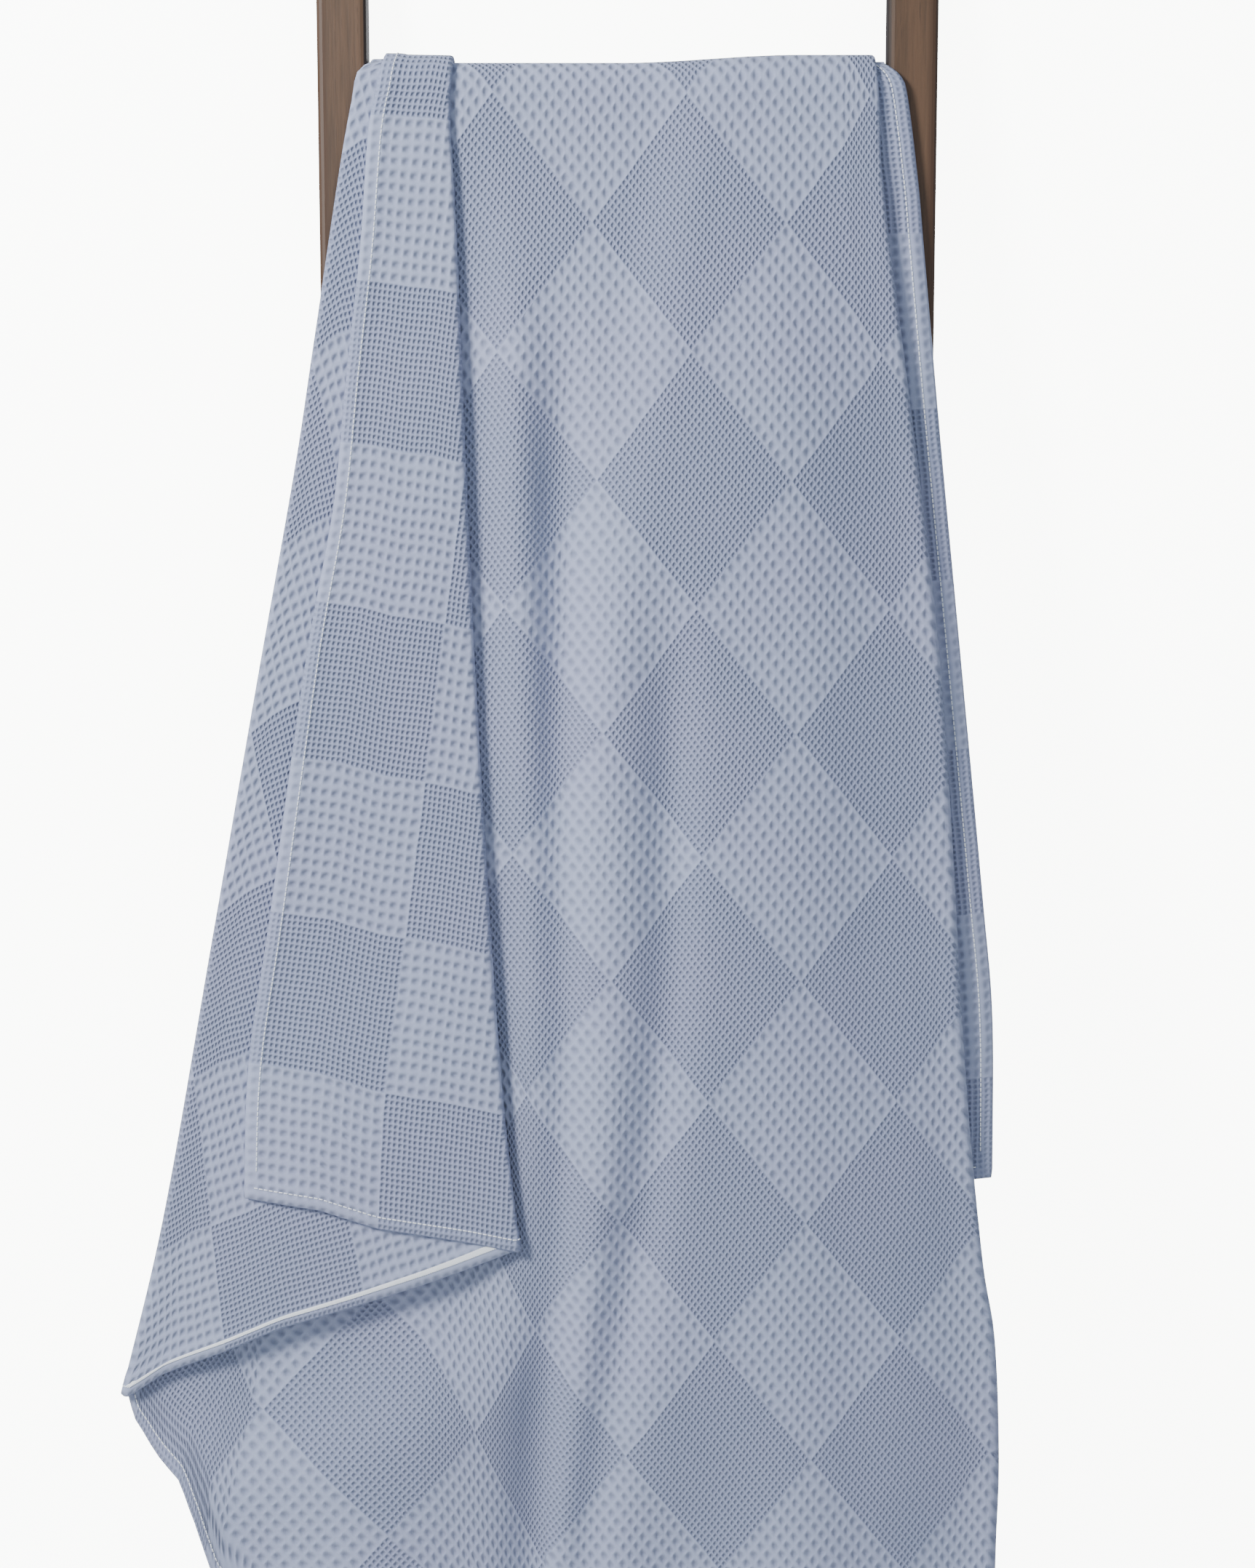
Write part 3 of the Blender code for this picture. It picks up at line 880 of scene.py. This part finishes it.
class QuiltSettings(bpy.types.PropertyGroup):
    """Sizes and colours of the cloth."""

    thickness: length_property("Thickness", "Thickness of the cloth", 0.0030)
    hem_thickness: length_property("Hem thickness", "Thickness of the turned hem", 0.0046)
    weave_depth: length_property("Weave depth", "Depth of the hollows in the weave", 0.0026)
    coarse_across: number_property("Coarse cells across", "Coarse cells across a check", 15.0)
    coarse_along: number_property("Coarse cells along", "Coarse cells along a check", 13.0)
    fine_across: number_property("Fine cells across", "Fine cells across a check", 30.0)
    fine_along: number_property("Fine cells along", "Fine cells along a check", 26.0)
    coarse_colour: colour_property(
        "Coarse colour", "Colour of the coarse checks", (0.345, 0.384, 0.535))
    fine_colour: colour_property("Fine colour", "Colour of the fine checks", (0.292, 0.328, 0.474))
    warm_colour: colour_property("Warm colour", "Purplish drift of the dye", (0.350, 0.358, 0.528))
    # Light fibres on the threads, and also the painted highlight on the weave's puffs.
    fleck_and_highlight_colour: colour_property(
        "Light fleck", "Light fibres on the threads", (0.470, 0.518, 0.670))
    # Painted shade inside the weave's hollows.
    hollow_shade_colour: colour_property(
        "Hollow colour", "Colour inside the weave's hollows", (0.112, 0.130, 0.222))


class StitchSettings(bpy.types.PropertyGroup):
    """Sizes of the hem's stitching."""

    inset: length_property("Inset", "Stitch line's distance from the edge", 0.0088)
    pitch: length_property("Pitch", "Distance from stitch to stitch", 0.0042)
    length: length_property("Stitch length", "Length of one stitch", 0.0034)
    radius: length_property("Thread radius", "Radius of the thread", 0.00055)
    overlock_inset: length_property("Overlock inset", "Zigzag's distance from the edge", 0.0065)
    overlock_pitch: length_property(
        "Overlock pitch", "Distance from one zigzag to the next", 0.0019)
    overlock_width: length_property(
        "Overlock width", "Width of the zigzag on the back of the hem", 0.005)


class RackSettings(bpy.types.PropertyGroup):
    """Colours and rounding of the rack."""

    wood_light: colour_property("Light grain", "Lighter tone of the stain", (0.104, 0.053, 0.025))
    wood_dark: colour_property("Dark grain", "Darker tone of the stain", (0.055, 0.029, 0.014))
    # Painted shade on the rails' outer sides, not a tone of the wood.
    outer_side_shade_colour: colour_property(
        "Outer side", "Redder tone along the rails' outer sides", (0.058, 0.025, 0.009))
    # The pores' own dark colour, and also the painted shade along the rails' inner edges.
    pore_colour_and_edge_shade: colour_property(
        "Edge", "Darkest tone, along edges and in pores", (0.016, 0.008, 0.004))
    rung_edge: length_property("Rung edge", "Rounding of the rungs' shoulders", 0.0012)
    cap_edge: length_property("Cap edge", "Rounding of the screw caps", 0.0010)


class StageSettings(bpy.types.PropertyGroup):
    """Camera and lights."""

    lens: number_property("Lens", "Focal length", 55.65, unit="CAMERA")
    pitch: number_property(
        "Pitch", "How far the camera looks down", math.radians(15), unit="ROTATION")
    distance: length_property("Distance", "Camera to the cloth", 2.0)
    wall_glow: number_property("Wall glow", "Light of the bright wall behind the rack", 9.0)
    aim_drop: length_property("Aim", "Point aimed at, below the top rung", 0.5589)


class QUILT_OT_cloth(bpy.types.Operator):
    """Make the folded cloth that hangs over the top rung"""

    bl_idname = "quilt.cloth"
    bl_label = "Cloth"

    def execute(self, context):
        settings = context.scene.quilt_settings
        points, fabric = cloth_grid()
        normals = surface_normals(points)
        hem = ease((HEM_EDGE - hem_distance(fabric)) / HEM_SLOPE)[..., None]
        half = (settings.thickness + (settings.hem_thickness - settings.thickness) * hem) / 2
        rows, columns = points.shape[:2]
        front = (points + normals * half).reshape(-1, 3)
        back = (points - normals * half).reshape(-1, 3)
        index = np.arange(rows * columns).reshape(rows, columns)
        quads = np.stack(
            [index[:-1, :-1], index[1:, :-1], index[1:, 1:], index[:-1, 1:]], -1
        ).reshape(-1, 4)
        ring = np.concatenate([index[0, :-1], index[:-1, -1], index[-1, :0:-1], index[:0:-1, 0]])
        inner = points.reshape(-1, 3)
        count = rows * columns
        rim = np.arange(len(ring)) + 2 * count
        # The rim's middle stands out a little, so that the edge is round.
        before, after = np.roll(ring, 1), np.roll(ring, -1)
        tangent = inner[after] - inner[before]
        outward = np.cross(tangent, normals.reshape(-1, 3)[ring])
        outward /= np.maximum(np.linalg.norm(outward, axis=1, keepdims=True), 1e-9)
        inside = np.concatenate([
            index[1, :-1], index[:-1, -2], index[-2, :0:-1], index[:0:-1, 1]
        ])
        away = np.einsum("ij,ij->i", outward, inner[ring] - inner[inside])
        outward *= np.where(away < 0, -1.0, 1.0)[:, None]
        rim_points = inner[ring] + outward * half.reshape(-1, 1)[ring] * ROUND_EDGE
        vertices = np.vstack([front, back, rim_points])
        a, b, m, n = ring, after, rim, np.roll(rim, -1)
        faces = [*map(tuple, quads), *map(tuple, quads[:, ::-1] + count)]
        faces += [*zip(a, b, n, m), *zip(m, n, b + count, a + count)]
        mesh = bpy.data.meshes.new("quilt_cloth")
        mesh.from_pydata(vertices.tolist(), [], [tuple(int(k) for k in f) for f in faces])
        uv = np.vstack([fabric.reshape(-1, 2)] * 2 + [fabric.reshape(-1, 2)[ring]])
        layer = mesh.uv_layers.new(name="fabric")
        corners = np.empty(len(mesh.loops), dtype=np.int64)
        mesh.loops.foreach_get("vertex_index", corners)
        layer.data.foreach_set("uv", uv[corners].ravel())
        bm = bmesh.new()
        bm.from_mesh(mesh)
        close_mesh(bm, mesh)
        mesh.materials.append(weave_material(settings))
        cloth = add_object("quilt_cloth", mesh)
        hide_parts("quilt")
        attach(cloth, "quilt")
        return {"FINISHED"}


class QUILT_OT_stitching(bpy.types.Operator):
    """Sew the hems: straight stitches on the face, an overlock zigzag on the back"""

    bl_idname = "quilt.stitching"
    bl_label = "Stitching"

    def execute(self, context):
        settings = context.scene.stitch_settings
        cloth = context.scene.quilt_settings
        points, fabric = cloth_grid()
        normals = surface_normals(points)
        thread = thread_material()
        lift = cloth.hem_thickness / 2 + settings.radius * THREAD_LIFT
        half = rounded_ends(settings.length / 2, settings.radius, settings.radius * 0.9, 2)
        stitch = turned_piece("stitch_work", both_ends(half), STITCH_SIDES)
        stitch.data.transform(Matrix.Rotation(-math.pi / 2, 4, "Y"))
        vertices, edges = [], []
        for line in inset_line(points, normals, fabric, settings.inset, lift):
            first = len(vertices)
            vertices += list(even_steps(line, settings.pitch))
            edges += [(k, k + 1) for k in range(first, len(vertices) - 1)]
        mesh = run_tree("hem_stitches", vertices, edges, stitch_tree(), {
            "Stitch": stitch, "Pitch": settings.pitch, "Material": thread})
        bpy.data.objects.remove(stitch, do_unlink=True)
        self.add_thread("hem_stitches", mesh)

        vertices, edges = [], []
        near = inset_line(points, normals, fabric, settings.overlock_inset, -lift)
        reach = settings.overlock_inset + settings.overlock_width
        far = inset_line(points, normals, fabric, reach, -lift)
        for inner, outer in zip(near, far):
            count = len(even_steps(inner, settings.overlock_pitch))
            run_in, run_out = even_steps(inner, count=count), even_steps(outer, count=count)
            # The two lines part at the slack corner, and the stitches there are held short.
            across = run_out - run_in
            span = np.linalg.norm(across, axis=1, keepdims=True)
            run_out = run_in + across * np.minimum(OVERLOCK_REACH / np.maximum(span, 1e-9), 1)
            for k in range(count - 1):
                first = len(vertices)
                vertices += [run_in[k], run_out[k], run_out[k], run_in[k + 1]]
                edges += [(first, first + 1), (first + 2, first + 3)]
        mesh = run_tree("overlock", vertices, edges, thread_tree(), {
            "Thread radius": settings.radius, "Sides": THREAD_SIDES, "Material": thread})
        self.add_thread("overlock", mesh)
        return {"FINISHED"}

    def add_thread(self, name, mesh):
        if not mesh.polygons:
            raise RuntimeError(f"{name}: the stitching has no faces")
        mesh.shade_smooth()
        made = add_object(name, mesh)
        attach(made, "quilt")


class QUILT_OT_rack(bpy.types.Operator):
    """Finish the rails and make the rungs and the screws' caps"""

    bl_idname = "quilt.rack"
    bl_label = "Rack"

    def execute(self, context):
        settings = context.scene.rack_settings
        lengthwise = wood_material("rail_wood", settings)
        crosswise = wood_material("rung_wood", settings, along_x=True)
        finish_nodes(["left_rail", "right_rail"], lengthwise)
        tree = repeat_tree()

        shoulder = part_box("right_rail")[0][0] - RAIL_GAP
        radius = RUNG_DEPTH / 2
        half = rounded_ends(shoulder, radius, settings.rung_edge)
        rung = turned_piece("rung_shape", both_ends(half), RUNG_SIDES)
        self.set_out("rungs", rung, [(0, 0, h) for h in RUNG_HEIGHTS], tree, crosswise, RUNG_NAMES)

        cap_low, cap_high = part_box("right_screw_cap_1")
        cap_radius = (cap_high[1] - cap_low[1]) / 2
        half = rounded_ends((cap_high[0] - cap_low[0]) / 2, cap_radius, settings.cap_edge)
        cap = turned_piece("cap_shape", both_ends(half), CAP_SIDES)
        cap_x = (cap_low[0] + cap_high[0]) / 2
        places = [(side * cap_x, 0, h) for side in (-1, 1) for h in RUNG_HEIGHTS]
        self.set_out("screw_caps", cap, places, tree, crosswise, CAP_NAMES)
        return {"FINISHED"}

    def set_out(self, name, shape, places, tree, material, replaced):
        mesh = run_tree(name, places, [], tree, {"Piece": shape, "Material": material})
        bpy.data.objects.remove(shape, do_unlink=True)
        if not mesh.polygons:
            raise RuntimeError(f"{name}: nothing was set out")
        mesh.transform(LEAN_MATRIX)
        made = add_object(name, mesh)
        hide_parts(*replaced)
        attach(made, "rack")


class QUILT_OT_fittings(bpy.types.Operator):
    """Finish the rubber pads and the steel screws"""

    bl_idname = "quilt.fittings"
    bl_label = "Fittings"

    def execute(self, context):
        rubber, nodes, grit = mottled_material(
            "black_rubber", 0.8, (0.018, 0.018, 0.018), (0.05, 0.05, 0.05), 900.0)
        nodes.output("Roughness", 0.70 + 0.20 * grit)
        nodes.output("Normal", nodes.bump(grit, 0.0003, 0.6))
        finish_nodes(PAD_NAMES, rubber)

        steel, nodes, plate = mottled_material(
            "zinc_steel", 0.35, (0.50, 0.50, 0.49), (0.68, 0.68, 0.66), 500.0, metallic=1.0)
        nodes.output("Roughness", 0.26 + 0.20 * plate)
        finish_nodes(SCREW_NAMES, steel)
        return {"FINISHED"}


class QUILT_OT_stage(bpy.types.Operator):
    """Set the floor, wall, lights and camera"""

    bl_idname = "quilt.stage"
    bl_label = "Stage"

    def execute(self, context):
        scene = context.scene
        settings = scene.stage_settings
        wall_y = max(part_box(f"{side}_wall_pad")[1][1] for side in SIDES)
        pale, _, _ = mottled_material(
            "pale_plaster", 0.95, (0.60, 0.61, 0.60), (0.66, 0.67, 0.66), 3.0)
        bright, nodes = new_material("bright_wall", 0.95)
        nodes.output("Base Color", rgba((0.90, 0.92, 0.88)))
        nodes.output("Emission Color", rgba((0.98, 1.0, 0.955)))
        nodes.output("Emission Strength", settings.wall_glow)
        # The wall is clear from behind, so that the rack's back can be seen.
        behind = nodes.add("ShaderNodeNewGeometry", output=6)
        nodes.output("Alpha", 1 - behind)
        for name, corners in (
            ("floor", [
                (-FLOOR_HALF, -FLOOR_HALF, 0), (FLOOR_HALF, -FLOOR_HALF, 0),
                (FLOOR_HALF, FLOOR_HALF, 0), (-FLOOR_HALF, FLOOR_HALF, 0),
            ]),
            ("wall", [
                (-WALL_HALF, wall_y, 0), (WALL_HALF, wall_y, 0),
                (WALL_HALF, wall_y, WALL_HEIGHT), (-WALL_HALF, wall_y, WALL_HEIGHT),
            ]),
        ):
            mesh = bpy.data.meshes.new(name)
            mesh.from_pydata(corners, [], [(0, 1, 2, 3)])
            mesh.materials.append(bright if name == "wall" else pale)
            made = add_object(name, mesh)
            if name == "wall":
                # It is bright, but lights nothing and keeps no light off the rack.
                made.visible_diffuse = made.visible_glossy = made.visible_shadow = False

        world = bpy.data.worlds.new("soft_daylight")
        world.use_nodes = True
        sky = world.node_tree.nodes["Background"]
        sky.inputs["Color"].default_value = (0.74, 0.85, 1.0, 1.0)
        sky.inputs["Strength"].default_value = 0.56
        scene.world = world
        for name, place, size, power in (
            ("window_light", (-2.1, -1.4, 3.1), 0.7, 158),
            ("fill_light", (1.6, -3.0, 2.4), 2.2, 17),
            ("back_light", (1.4, 2.6, 2.7), 2.0, 60),
        ):
            data = bpy.data.lights.new(name, "AREA")
            data.size = size
            data.energy = power
            light = add_object(name, data)
            light.location = place
            aim = Vector((0.0, 0.1, 1.2)) - Vector(place)
            light.rotation_euler = aim.to_track_quat("-Z", "Y").to_euler()

        target = Vector((0.0, SIN, COS)) * (TOP_RUNG - settings.aim_drop)
        look = Vector((0.0, math.cos(settings.pitch), -math.sin(settings.pitch)))
        data = bpy.data.cameras.new("camera")
        data.sensor_fit = "VERTICAL"
        data.sensor_height = 36.0
        data.lens = settings.lens
        camera = add_object("camera", data)
        camera.location = target - look * settings.distance
        camera.rotation_euler = (math.pi / 2 - settings.pitch, 0.0, 0.0)
        scene.camera = camera
        return {"FINISHED"}


class QUILT_PT_panel(bpy.types.Panel):
    """Lists the quilt's operators"""

    bl_idname = "QUILT_PT_panel"
    bl_label = "Quilt on a Rack"
    bl_space_type = "VIEW_3D"
    bl_region_type = "UI"
    bl_category = "Quilt"

    def draw(self, context):
        for operator in OPERATORS:
            self.layout.operator(operator.bl_idname)


SETTINGS = {
    "quilt_settings": QuiltSettings,
    "stitch_settings": StitchSettings,
    "rack_settings": RackSettings,
    "stage_settings": StageSettings,
}
OPERATORS = (QUILT_OT_stage, QUILT_OT_rack, QUILT_OT_fittings, QUILT_OT_cloth, QUILT_OT_stitching)


def register():
    for made in (*SETTINGS.values(), *OPERATORS, QUILT_PT_panel):
        bpy.utils.register_class(made)
    for name, group in SETTINGS.items():
        setattr(bpy.types.Scene, name, bpy.props.PointerProperty(type=group))


def unregister():
    for name in SETTINGS:
        delattr(bpy.types.Scene, name)
    for made in reversed((*SETTINGS.values(), *OPERATORS, QUILT_PT_panel)):
        bpy.utils.unregister_class(made)


def main():
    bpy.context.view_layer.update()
    register()
    for operator in OPERATORS:
        group, name = operator.bl_idname.split(".")
        getattr(getattr(bpy.ops, group), name)()
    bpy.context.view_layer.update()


if __name__ == "__main__":
    main()
